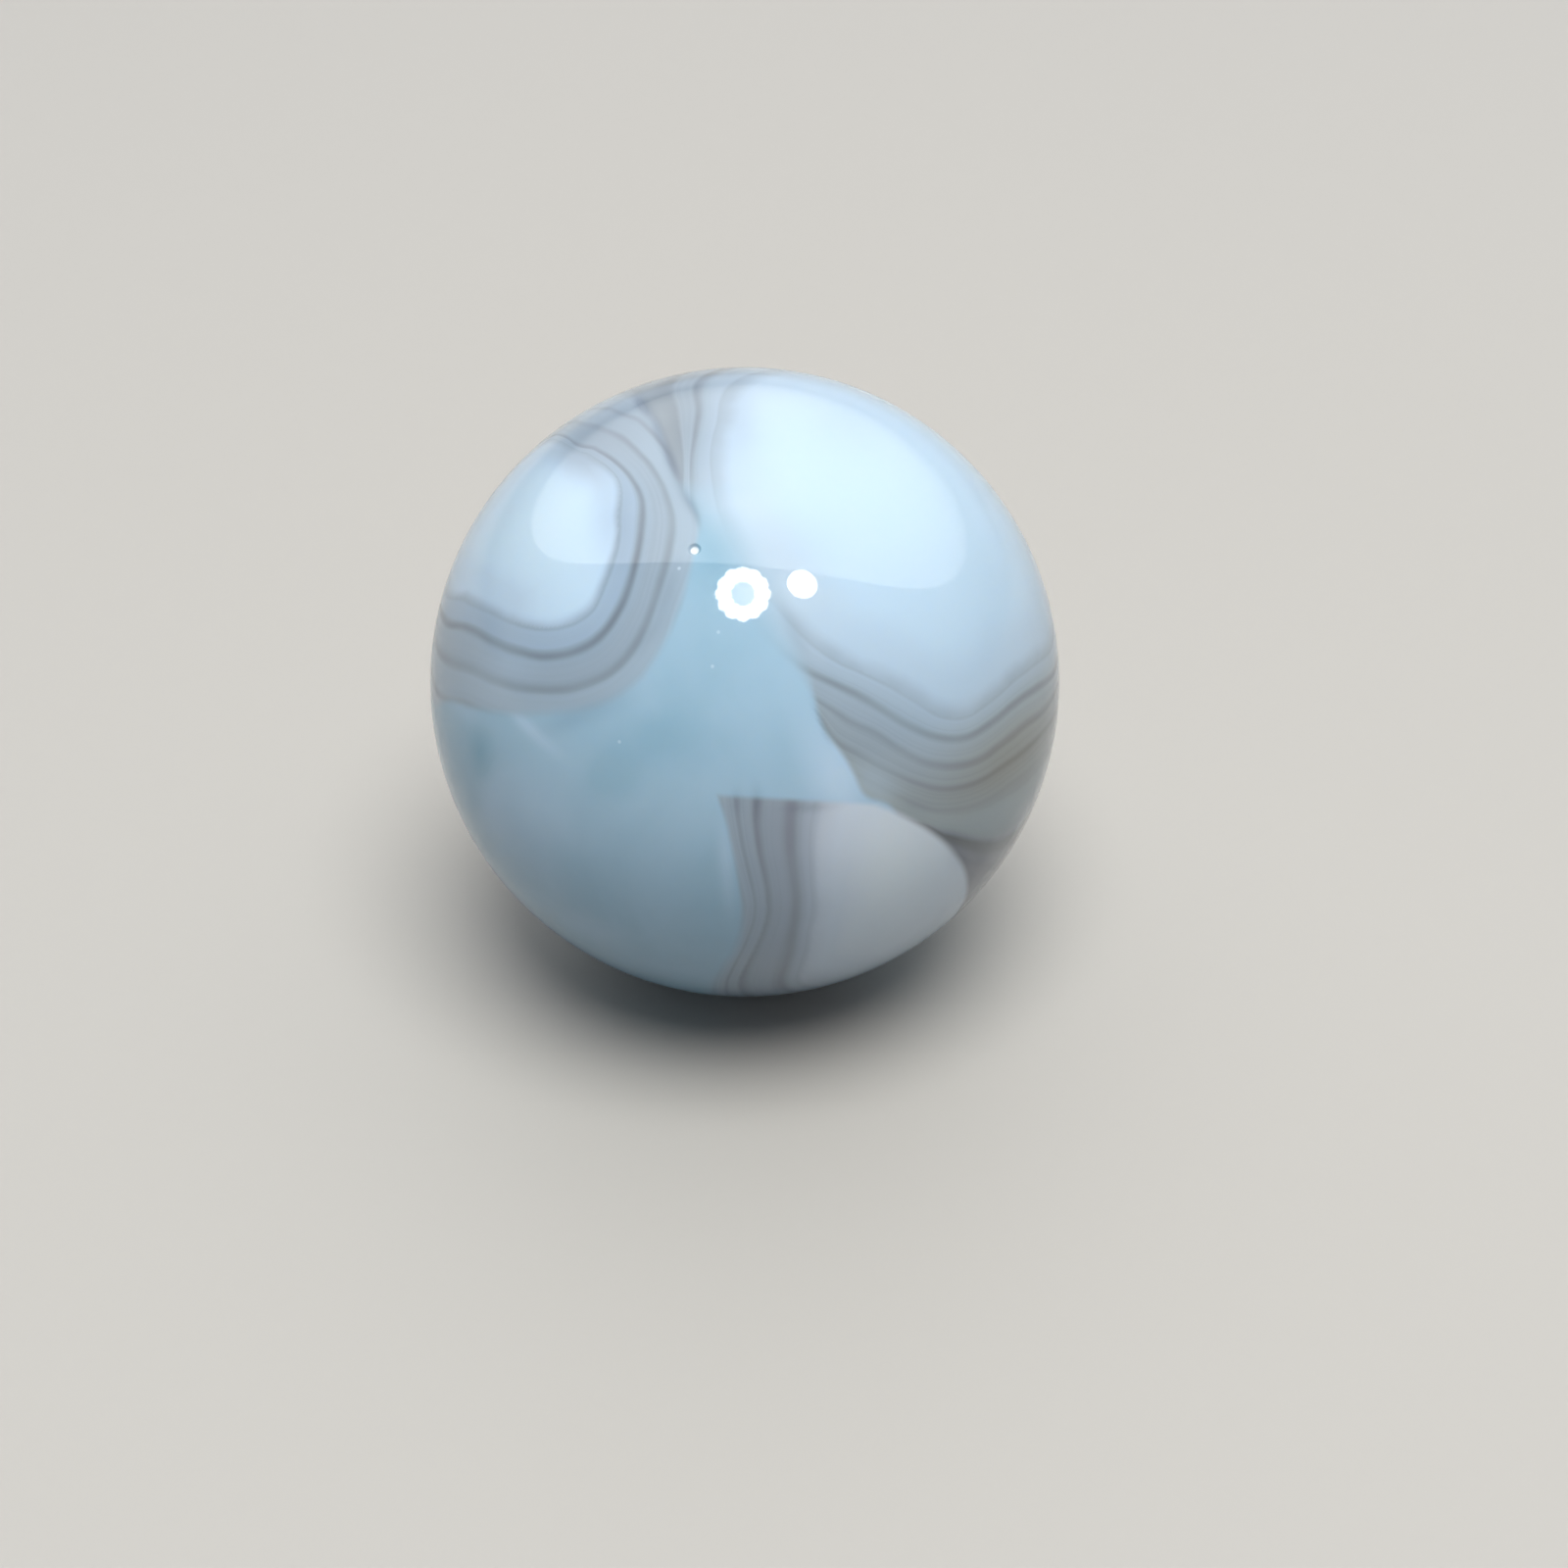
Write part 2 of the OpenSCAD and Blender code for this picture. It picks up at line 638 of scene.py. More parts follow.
class Wire:
    """A value that flows through the tree; expressions on wires add Math nodes."""

    def __init__(self, board: Board, socket: bpy.types.NodeSocket) -> None:
        """Wraps one output socket."""
        self.board = board
        self.socket = socket

    def math(self, operation: str, first: "Wire | float", second: "Wire | float") -> "Wire":
        """Returns the result of one Math node."""
        operands = {"Value": first, "Value_001": second}
        return self.board.wire("ShaderNodeMath", "Value", {"operation": operation}, **operands)

    def __add__(self, other: "Wire | float") -> "Wire":
        """Returns self + other."""
        return self.math("ADD", self, other)

    __radd__ = __add__

    def __sub__(self, other: "Wire | float") -> "Wire":
        """Returns self - other."""
        return self.math("SUBTRACT", self, other)

    def __rsub__(self, other: "Wire | float") -> "Wire":
        """Returns other - self."""
        return self.math("SUBTRACT", other, self)

    def __mul__(self, other: "Wire | float") -> "Wire":
        """Returns self * other."""
        return self.math("MULTIPLY", self, other)

    __rmul__ = __mul__

    def __truediv__(self, other: "Wire | float") -> "Wire":
        """Returns self / other."""
        return self.math("DIVIDE", self, other)

    def __pow__(self, other: float) -> "Wire":
        """Returns self to the power other."""
        return self.math("POWER", self, other)

    def larger(self, other: "Wire | float") -> "Wire":
        """Returns the larger of the two."""
        return self.math("MAXIMUM", self, other)

    def smaller(self, other: "Wire | float") -> "Wire":
        """Returns the smaller of the two."""
        return self.math("MINIMUM", self, other)

    def share(self) -> "Wire":
        """Returns the number kept between 0 and 1."""
        return self.larger(0.0).smaller(1.0)

    def step(self, low: float, high: float) -> "Wire":
        """Returns the smooth step 3t² - 2t³ from 0 at low to 1 at high."""
        span = {"Value": self, "From Min": low, "From Max": high}
        return self.board.wire("ShaderNodeMapRange", "Result", {"interpolation_type": "SMOOTHSTEP"}, **span)


def find_socket(sockets: Sequence[bpy.types.NodeSocket], key: str) -> bpy.types.NodeSocket:
    """Returns the socket with this identifier, or else the first one with this name."""
    exact = [socket for socket in sockets if socket.identifier == key]
    return exact[0] if exact else next(socket for socket in sockets if socket.name == key)


def set_stops(ramp: bpy.types.ColorRamp, stops: Sequence[tuple[float, Colour]]) -> None:
    """Gives a colour ramp exactly these stops.

    Args:
        ramp: the colour ramp.
        stops: (place, colour) pairs, with the places rising from 0 to 1.
    """
    while len(ramp.elements) > 1:
        ramp.elements.remove(ramp.elements[-1])
    ramp.elements[0].position = stops[0][0]
    ramp.elements[0].color = (*stops[0][1], 1.0)
    for place, colour in stops[1:]:
        ramp.elements.new(place).color = (*colour, 1.0)


# ---------------------------------------------------------------------------------------- the glass


@dataclass(frozen=True)
class Line:
    """A thin dark line in a fold.

    Attributes:
        level: where it lies.
        inwards: how many levels it takes to fade towards the core.
        outwards: how many it takes to fade outwards.
        darkness: how dark its middle is, 0 to 1.
    """

    level: float
    inwards: float
    outwards: float
    darkness: float


@dataclass(frozen=True)
class Stream:
    """The colours of one fold.

    Attributes:
        name: the start of its attributes' names.
        bands: (level, colour) pairs, from the core outwards.
        lines: the thin lines drawn over the bands.
        pale: the colour outside the core where the fold holds little ink.
        line_tint: what a line at full darkness multiplies the colour by.
        streak_tint: what a streak at full strength multiplies the colour by.
        ripple: how many levels the rings wander, ripple_scale times a metre.
        ink_range: the levels between which the ink comes in.
        streaks: how strong the fine streaks are, which come in over the levels of streak_range.
        streaks_a_level: how many of them lie side by side in one level.
        streaks_a_metre: how many follow each other along a ring.
        blotches: how often a line's strength changes in a metre.
        blotch_strength: its strength at the two noises of blotch_noise, and beyond them.
        most_levels: the level at the far end of the ramps.
    """

    name: str
    bands: tuple[tuple[float, Colour], ...]
    lines: tuple[Line, ...]
    pale: Colour = (0.61, 0.74, 0.84)
    line_tint: Colour = (0.32, 0.27, 0.25)
    streak_tint: Colour = (0.45, 0.42, 0.42)
    ripple: float = 0.10
    ripple_scale: float = 700.0
    ink_range: Pair = (0.5, 1.1)
    streaks: float = 0.10
    streaks_a_level: float = 5.0
    streaks_a_metre: float = 90.0
    streak_range: Pair = (0.8, 1.3)
    streak_noise: Pair = (0.45, 0.75)
    blotches: float = 420.0
    blotch_noise: Pair = (0.25, 0.75)
    blotch_strength: Pair = (0.75, 1.25)
    most_levels: float = 8.0

    def colour(self, board: Board, place: Wire) -> Wire:
        """Wires the fold's colour from its level.

        A line keeps the square root of the ink, so it pales later than the bands do.

        Args:
            board: the material's tree.
            place: the Object coordinates.

        Returns:
            The colour.
        """
        ripple = board.noise(place, self.ripple_scale) - 0.5  # a noise's middle is 0.5
        level = board.attribute(f"{self.name}_level") + ripple * self.ripple
        at = level / self.most_levels
        ink = board.attribute(f"{self.name}_ink")
        smoke = board.ramp(at, [(lvl / self.most_levels, colour) for lvl, colour in self.bands])
        bands = board.blend(ink.larger(1.0 - level.step(*self.ink_range)), self.pale, smoke)
        streaks = self.streak(board, place, level) * ink * level.step(*self.streak_range)
        streaked = board.tinted(streaks, bands, self.streak_tint)
        drawn = board.wire("ShaderNodeSeparateColor", "Red", None, Color=board.ramp(at, self.line_stops()))
        weakest, strongest = self.blotch_strength
        blotches = board.noise(place, self.blotches).step(*self.blotch_noise)
        strength = blotches * (strongest - weakest) + weakest
        return board.tinted((drawn * ink**0.5 * strength).smaller(1.0), streaked, self.line_tint)

    def streak(self, board: Board, place: Wire, level: Wire) -> Wire:
        """Wires fine streaks that run along the rings.

        They are a noise of the level and, far more slowly, of the place.

        Args:
            board: the material's tree.
            place: the Object coordinates.
            level: the level.

        Returns:
            How strong the streak is.
        """
        across = board.wire("ShaderNodeCombineXYZ", "Vector", None, X=level * self.streaks_a_level)
        slow = board.vector("SCALE", Vector=place, Scale=self.streaks_a_metre)
        both = board.vector("ADD", Vector=across, Vector_001=slow)
        return board.noise(both, 1.0).step(*self.streak_noise) * self.streaks

    def line_stops(self) -> list[tuple[float, Colour]]:
        """Works out the ramp that is dark where a line lies.

        It rises to each line's darkness and falls again, and it is black between the lines.

        Returns:
            The ramp's stops.
        """
        black, smallest_step = (0.0, 0.0, 0.0), 0.001
        stops = [(0.0, black)]
        for line in self.lines:
            start = max((line.level - line.inwards) / self.most_levels, stops[-1][0] + smallest_step)
            peak = line.level / self.most_levels
            end = (line.level + line.outwards) / self.most_levels
            stops += [(start, black), (peak, (line.darkness,) * 3), (end, black)]
        return stops

    def cover(self, board: Board) -> Wire:
        """Wires how much of the surface the fold covers, from the depth inside it: -1 is none, 1 is all."""
        return board.attribute(f"{self.name}_cover").step(-1.0, 1.0)


@dataclass(frozen=True)
class SwirledGlass:
    """The finish of the ball: streams laid over blue-grey glass, polished, with light seeping a little in.

    A scale is how many lumps its noise has in a metre, and a noise's two numbers are where the thing starts
    to show and where it is whole.

    Attributes:
        streams: the folds' colours, each over the one before it.
        deep: the glass between the folds; milk drifts through it, and pool_and_dark_reflection is its
            clearest, darkest part, also used for a painted dark reflection.
        stain: what a patch of real staining or of painted shade multiplies the colour by, as tan is for the
            painted rim reflection.
        painted_glint: a painted highlight in the open bubble, whole as far out as painted_glint_core of its
            reach.
        speck: the tiny closed bubbles, whole as far out as speck_core of their radius.
        drift: how much milk drifts through the glass between the folds.
        scuffs: how much rougher than the polish the scuffed places are.
        wave_height: how high the shallow waves on the surface are.
        index: the glass's index of refraction.
        seep_share: how much of the light seeps in, as deep as seep_depth.
        seep_colour: how deep red, green and blue seep, over that depth.
    """

    streams: tuple[Stream, ...]
    deep: Colour = (0.372, 0.575, 0.705)
    milk: Colour = (0.57, 0.745, 0.895)
    # Also the colour of a painted dark reflection between the folds.
    pool_and_dark_reflection: Colour = (0.23, 0.45, 0.58)
    # Also the grey of the painted shade and painted dark reflection patches.
    stain: Colour = (0.57, 0.59, 0.635)
    # painted reflection: the brownish tint of a brown surface mirrored in the rim
    tan: Colour = (0.97, 0.84, 0.70)
    # painted highlight: the pale spot in the open bubble
    painted_glint: Colour = (0.92, 1.0, 1.0)
    painted_glint_core: float = 0.6
    speck: Colour = linear(225, 240, 248)
    speck_strength: float = 0.5
    speck_core: float = 0.3
    drift: float = 0.3
    drift_scale: float = 150.0
    drift_detail: float = 3.0
    drift_warp: float = 1.2
    drift_noise: Pair = (0.30, 0.70)
    roughness: float = 0.03
    scuffs: float = 0.03
    scuff_scale: float = 900.0
    scuff_detail: float = 4.0
    scuff_noise: Pair = (0.55, 0.85)
    wave_scale: float = 160.0
    wave_height: float = 0.1 * MILLIMETRE
    wave_strength: float = 0.05
    index: float = 1.5
    seep_share: float = 0.35
    seep_depth: float = 0.35 * MILLIMETRE
    seep_colour: Colour = (0.9, 1.0, 1.1)

    def colour(self, board: Board, place: Wire) -> Wire:
        """Wires the colour of the glass, of the folds over it and of the patches over them, some of which
        are painted shade and painted reflections.

        Args:
            board: the material's tree.
            place: the Object coordinates.

        Returns:
            The colour.
        """
        drift = board.noise(place, self.drift_scale, self.drift_detail, self.drift_warp)
        veil = board.attribute("veil")
        milky = (drift.step(*self.drift_noise) * self.drift + veil).share()
        colour = board.blend(milky, self.deep, self.milk)
        # Below 0 the field gives clear pools in the glass and a painted dark reflection between the folds.
        colour = board.blend((0.0 - veil).share(), colour, self.pool_and_dark_reflection)
        for stream in self.streams:
            colour = board.blend(stream.cover(board), colour, stream.colour(board, place))
        # Real staining, together with painted shade and a painted dark reflection.
        stain = board.attribute("stain")
        colour = board.tinted(stain.share(), colour, self.stain)
        colour = board.blend((0.0 - stain).share(), colour, self.milk)
        # painted reflection: tints the right rim brownish
        return board.tinted(board.attribute("tan").share(), colour, self.tan)

    def material(
        self, seeds: np.ndarray, seed_radius: float, pit: np.ndarray, glint_radius: float
    ) -> bpy.types.Material:
        """Builds the glass material.

        Args:
            seeds: the places of tiny closed bubbles just under the surface.
            seed_radius: their radius.
            pit: the bottom of the open bubble, where a pale painted highlight lies.
            glint_radius: how far out the painted highlight reaches.

        Returns:
            The material.
        """
        made = bpy.data.materials.new("swirled_glass")
        made.use_nodes = True
        board = Board(made.node_tree)
        place = board.wire("ShaderNodeTexCoord", "Object")
        colour = self.colour(board, place)
        for seed in seeds:
            speck = 1.0 - board.distance(place, seed).step(self.speck_core * seed_radius, seed_radius)
            colour = board.blend(speck * self.speck_strength, colour, self.speck)
        # painted highlight: a pale spot at the bottom of the open bubble, standing in for a lamp's glint
        glinting = 1.0 - board.distance(place, pit).step(self.painted_glint_core * glint_radius, glint_radius)
        colour = board.blend(glinting, colour, self.painted_glint)
        scuffs = board.noise(place, self.scuff_scale, self.scuff_detail).step(*self.scuff_noise)
        wave = {
            "Height": board.noise(place, self.wave_scale, detail=1.0),
            "Strength": self.wave_strength,
            "Distance": self.wave_height,
        }
        glass = {
            "Base Color": colour,
            "Roughness": scuffs * self.scuffs + self.roughness,
            "IOR": self.index,
            "Subsurface Weight": self.seep_share,
            "Subsurface Radius": self.seep_colour,
            "Subsurface Scale": self.seep_depth,
            "Normal": board.wire("ShaderNodeBump", "Normal", None, **wave),
        }
        seeping = {"subsurface_method": "RANDOM_WALK"}
        shader = board.wire("ShaderNodeBsdfPrincipled", "BSDF", seeping, **glass)
        board.node("ShaderNodeOutputMaterial", None, {"Surface": shader})
        return made


@dataclass(frozen=True)
class Patch:
    """A soft patch on the ball.

    Attributes:
        middle: the picture point of its middle.
        end: the picture point, along it, where it has fallen to 1 / e.
        width: how far across it has fallen to 1 / e, in metres.
        strength: its strength in the middle.
    """

    middle: PicturePoint
    end: PicturePoint
    width: float
    strength: float

    def field(self, sight: Sight, directions: np.ndarray, radius: float) -> np.ndarray:
        """Works out the patch's strength at each point.

        It is strength exp(-(a² + b²)), where a is the distance along the patch over its half length and b
        the distance across it over its width.

        Args:
            sight: turns the picture points into directions.
            directions: unit vectors, one a row.
            radius: the ball's radius.

        Returns:
            The strength at each point.
        """
        middle, end = sight.on_glass([self.middle, self.end]) * radius
        length = np.linalg.norm(end - middle)
        along = (end - middle) / length
        offset = directions * radius - middle
        run = offset @ along
        aside = np.sqrt(np.maximum(np.sum(offset**2, 1) - run**2, 0))
        return self.strength * np.exp(-((run / length) ** 2) - (aside / self.width) ** 2)


Patches = dict[str, Patch]


@dataclass
class Marble:
    """The marble: the ball, the folds of glass in it and the finish that shows them.

    Attributes:
        ball: the ball's shape.
        sight: turns picture points into directions.
        folds: the folds, each over the one before it.
        veils_and_dark_reflection: milk in the glass between the folds, or clear pools where the strength is
            below 0; one darker patch among them is a painted dark reflection.
        stains_and_shade: grey over everything, or milk where the strength is below 0; among the grey patches
            are painted shade and a painted dark reflection.
        painted_rim_reflections: brownish patches over everything, a painted reflection of a brown surface at
            the rim.
        finish: the glass.
        seeds: picture points of the tiny closed bubbles.
        seed_radius: their radius.
        name: the piece's name.
        attributes: what the material reads, by name; build fills it.
    """

    ball: Ball
    sight: Sight
    folds: tuple[Fold, ...]
    veils_and_dark_reflection: Patches
    stains_and_shade: Patches
    painted_rim_reflections: Patches
    finish: SwirledGlass
    seeds: dict[str, PicturePoint]
    seed_radius: float = 0.06 * MILLIMETRE
    name: str = "glass_ball"
    attributes: dict[str, np.ndarray] = field(default_factory=dict)

    def build(self) -> bpy.types.Object:
        """Makes the ball, writes the folds on it as attributes and dresses it.

        Returns:
            The piece, riding on the part's body in place of the plain ball.
        """
        vertices, quads, triangles = self.ball.surface()
        directions = unit(vertices)
        for fold in self.folds:
            self.attributes |= fold.fields(directions, self.ball.radius)
        # The veil and stain fields also hold painted shade and painted dark reflections, and the tan field a
        # painted rim reflection.
        for name, patches in (("veil", self.veils_and_dark_reflection), ("stain", self.stains_and_shade), ("tan", self.painted_rim_reflections)):
            fields = [patch.field(self.sight, directions, self.ball.radius) for patch in patches.values()]
            self.attributes[name] = np.sum(fields, 0)
        mesh = new_mesh(self.name, vertices, quads, triangles)
        for name, values in self.attributes.items():
            layer = mesh.attributes.new(name, "FLOAT", "POINT")
            layer.data.foreach_set("value", values.astype(np.float32))
        seeds = self.sight.on_glass(list(self.seeds.values())) * self.ball.radius
        pit, glint_radius = self.ball.pit()
        piece = new_object(self.name, mesh, self.finish.material(seeds, self.seed_radius, pit, glint_radius))
        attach(piece, BODY)
        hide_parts(GLASS_NODE)
        return piece


# ---------------------------------------------------------------------------------------- the pattern


class Side(Enum):
    """The folds, named by where they show from the front."""

    REAR = "rear"
    RIGHT = "right"
    LEFT = "left"
    LOWER = "lower"


# The longitude and latitude of the rear fold's core, and the picture points of the others' cores.
REAR_CORE: Pair = (98, -12)
RIGHT_CORE: PicturePoint = (930, 520)
LEFT_CORE: PicturePoint = (563, 533)
LOWER_CORE: PicturePoint = (905, 890)


def rear_fold(sight: Sight) -> Fold:
    """Lays out the fold on the far side of the ball.

    Args:
        sight: turns its picture points into directions.

    Returns:
        The fold.
    """
    return Fold(
        name=Side.REAR.value,
        core=towards(*REAR_CORE),
        sight=sight,
        rings=(
            Ring(hidden=((0, 12), (60, 15), (120, 13), (180, 16), (-120, 12), (-60, 10))),
            Ring(hidden=((0, 22), (60, 24), (120, 20), (180, 25), (-120, 23), (-60, 19))),
            Ring(hidden=((0, 30), (60, 33), (120, 28), (180, 32), (-120, 31), (-60, 26))),
            Ring(hidden=((0, 37), (60, 42), (120, 38), (180, 40), (-120, 42), (-60, 34))),
        ),
        outline=Ring(
            hidden=((0, 43), (45, 50), (90, 47), (135, 44), (180, 48), (-135, 52), (-90, 46), (-45, 40)),
        ),
        softness=((0, 0.0003), (90, 0.0009), (180, 0.0003), (-90, 0.0002)),
        ink=((0, 0.9), (60, 0.7), (120, 0.35), (180, 0.6), (-120, 1.0), (-60, 0.9)),
    )


def right_fold(sight: Sight) -> Fold:
    """Lays out the large fold to the right, whose lines lie close together along its lower side.

    Args:
        sight: turns its picture points into directions.

    Returns:
        The fold.
    """
    return Fold(
        name=Side.RIGHT.value,
        core=sight.on_glass([RIGHT_CORE])[0],
        sight=sight,
        rings=(
            Ring(
                seen=(
                    (817, 645), (832, 659), (857, 676), (885, 688), (912, 702), (938, 718), (957, 730),
                    (983, 732), (1010, 716), (1035, 694), (1060, 674), (1072, 662), (738, 405), (733, 430),
                    (727, 455), (730, 500), (745, 550), (780, 600),
                ),
                hidden=((-30, 48), (0, 52), (30, 50), (60, 46)),
            ),
            Ring(
                seen=(
                    (822, 684), (850, 697), (880, 711), (905, 727), (930, 742), (957, 752), (985, 752),
                    (1010, 738), (1033, 719), (1058, 701), (1076, 685), (713, 390), (713, 418), (709, 443),
                    (705, 472), (712, 540), (735, 590), (780, 650),
                ),
                hidden=((-30, 54), (0, 60), (30, 58), (60, 54)),
            ),
            Ring(
                seen=(
                    (845, 722), (868, 737), (893, 748), (918, 765), (943, 778), (972, 782), (998, 776),
                    (1022, 760), (1045, 741), (1068, 722), (683, 402), (687, 412), (692, 438), (696, 462),
                    (700, 560), (740, 640), (790, 690),
                ),
                hidden=((-30, 60), (0, 68), (30, 67), (60, 63)),
            ),
            Ring(
                seen=(
                    (835, 728), (851, 755), (875, 770), (905, 786), (935, 799), (965, 805), (995, 799),
                    (1025, 781), (1055, 757),
                ),
                hidden=((-30, 67), (0, 75), (30, 75), (60, 72), (100, 76), (130, 68), (170, 50)),
            ),
            Ring(
                seen=(
                    (880, 792), (905, 805), (930, 818), (950, 826), (975, 826), (1000, 820), (1025, 805),
                    (1045, 790),
                ),
                hidden=((-30, 73), (0, 82), (30, 82), (60, 80), (100, 84), (130, 76), (170, 57)),
            ),
            Ring(
                seen=((920, 835), (950, 845), (960, 851), (975, 856), (1000, 862), (1025, 858)),
                hidden=((-30, 80), (0, 90), (30, 90), (60, 88), (100, 92), (130, 84), (170, 64)),
            ),
        ),
        outline=Ring(
            seen=(
                (700, 508), (727, 524), (750, 545), (765, 570), (777, 600), (791, 630), (804, 655),
                (816, 678), (826, 697), (832, 715), (836, 730), (842, 745), (850, 757), (860, 770),
                (870, 787), (880, 808),
            ),
            hidden=(
                (-129, 53), (-122, 62), (-112, 74), (-100, 84), (-60, 84), (-30, 84), (0, 94), (30, 92),
                (60, 80), (95, 70), (125, 60),
            ),
        ),
        softness=(
            (-160, 0.0001), (-130, 0.0001), (-100, 0.0003), (0, 0.0006), (90, 0.0006), (150, 0.0009),
            (170, 0.0008), (-172, 0.0004), (-163, 0.0002),
        ),
        ink=(
            (178, 0.35), (-172, 0.7), (-160, 0.95), (-100, 1.0), (-50, 0.9), (0, 0.8), (60, 0.9), (85, 1.0),
            (110, 1.0), (130, 0.8), (150, 0.2), (170, 0.08),
        ),
    )


def left_fold(sight: Sight) -> Fold:
    """Lays out the fold to the left, a nest of ovals round a milky core.

    Args:
        sight: turns its picture points into directions.

    Returns:
        The fold.
    """
    return Fold(
        name=Side.LEFT.value,
        core=sight.on_glass([LEFT_CORE])[0],
        sight=sight,
        rings=(
            Ring(
                seen=(
                    (455, 607), (470, 611), (482, 618), (497, 624), (520, 634), (545, 641), (575, 639),
                    (592, 633), (606, 621), (614, 605), (621, 588), (628, 568), (632, 545), (632, 530),
                ),
                hidden=(
                    (66, 13.7), (90, 13.4), (116, 14.5), (141, 18.9), (150, 23.2), (158, 28.5), (170, 31.5),
                    (180, 32.5), (-160, 36), (-147, 37.5),
                ),
            ),
            Ring(
                seen=(
                    (452, 631), (475, 640), (500, 653), (530, 665), (560, 670), (590, 664), (615, 647),
                    (632, 622), (643, 597), (650, 568), (654, 540), (655, 510), (645, 490), (628, 472),
                    (608, 459), (583, 451),
                ),
                hidden=((150, 25), (158, 30), (170, 33), (180, 34), (-160, 38), (-140, 39.5)),
            ),
            Ring(
                seen=(
                    (450, 668), (480, 683), (510, 696), (550, 704), (590, 701), (618, 689), (640, 670),
                    (658, 640), (670, 605), (682, 565), (686, 535), (679, 502), (667, 480), (652, 462),
                    (633, 445), (610, 436), (594, 432),
                ),
                hidden=((150, 31.5), (160, 35), (175, 37.5), (-165, 40), (-145, 43), (-130, 43), (-122, 39)),
            ),
        ),
        outline=Ring(
            seen=(
                (455, 716), (480, 722), (510, 727), (560, 728), (600, 722), (630, 710), (655, 690),
                (672, 665), (685, 640), (695, 615), (702, 590), (708, 565), (712, 530), (700, 508),
                (690, 488), (681, 462), (674, 440), (663, 422), (652, 408), (646, 404),
            ),
            hidden=(
                (137, 38), (150, 40), (170, 43), (-165, 46), (-145, 49), (-125, 50), (-112, 47),
                (-106, 43.5),
            ),
        ),
        softness=(
            (-100, 0.00012), (-40, 0.0002), (20, 0.0001), (100, 0.0001), (150, 0.0003), (-150, 0.0004),
        ),
        ink=(
            (-90, 0.75), (-70, 0.65), (-50, 0.95), (-30, 1.0), (50, 1.0), (90, 0.6), (115, 0.35),
            (145, 0.35), (165, 0.7), (180, 0.85),
        ),
    )


def lower_fold(sight: Sight) -> Fold:
    """Lays out the flap folded over the others low on the right, cut straight along its top.

    Args:
        sight: turns its picture points into directions.

    Returns:
        The fold.
    """
    return Fold(
        name=Side.LOWER.value,
        core=sight.on_glass([LOWER_CORE])[0],
        sight=sight,
        rings=(
            Ring(
                seen=((842, 825), (837, 850), (836, 900), (833, 945), (827, 975), (820, 1000)),
                hidden=((-90, 40), (-45, 42), (0, 38), (45, 34), (90, 28), (120, 21)),
            ),
            Ring(
                seen=(
                    (808, 822), (807, 850), (808, 870), (811, 895), (813, 925), (810, 950), (804, 980),
                    (797, 1003),
                ),
                hidden=((-90, 48), (-45, 50), (0, 46), (45, 42), (90, 36), (120, 28)),
            ),
            Ring(
                seen=(
                    (772, 815), (771, 840), (774, 865), (779, 890), (783, 915), (783, 935), (776, 957),
                    (765, 980), (755, 1003),
                ),
                hidden=((-90, 58), (-45, 60), (0, 54), (45, 50), (90, 44), (120, 36)),
            ),
            Ring(
                seen=(
                    (752, 815), (756, 850), (762, 880), (768, 905), (771, 925), (768, 945), (760, 965),
                    (750, 985), (742, 1003),
                ),
                hidden=((-90, 66), (-45, 68), (0, 60), (45, 56), (90, 50), (120, 41)),
            ),
        ),
        outline=Ring(
            seen=(
                (733, 812), (740, 835), (746, 860), (751, 885), (755, 910), (757, 935), (755, 955),
                (748, 975), (738, 990), (729, 1003),
            ),
            hidden=((-90, 73), (-45, 75), (0, 66), (45, 60), (90, 54), (120, 44)),
        ),
        softness=((180, 0.00008), (-120, 0.0003), (-60, 0.0006), (0, 0.0004), (90, 0.0001)),
        ink=((180, 0.85), (145, 1.0), (-150, 0.8), (-100, 0.8), (-45, 0.6), (0, 0.5), (60, 0.8), (120, 1.0)),
        edges=(
            Edge(through=((733, 812), (806, 816), (880, 820)), inside=(820, 900), softness=0.00009),
            Edge(through=((900, 823), (950, 849), (987, 903)), inside=(900, 900), softness=0.00009),
        ),
    )


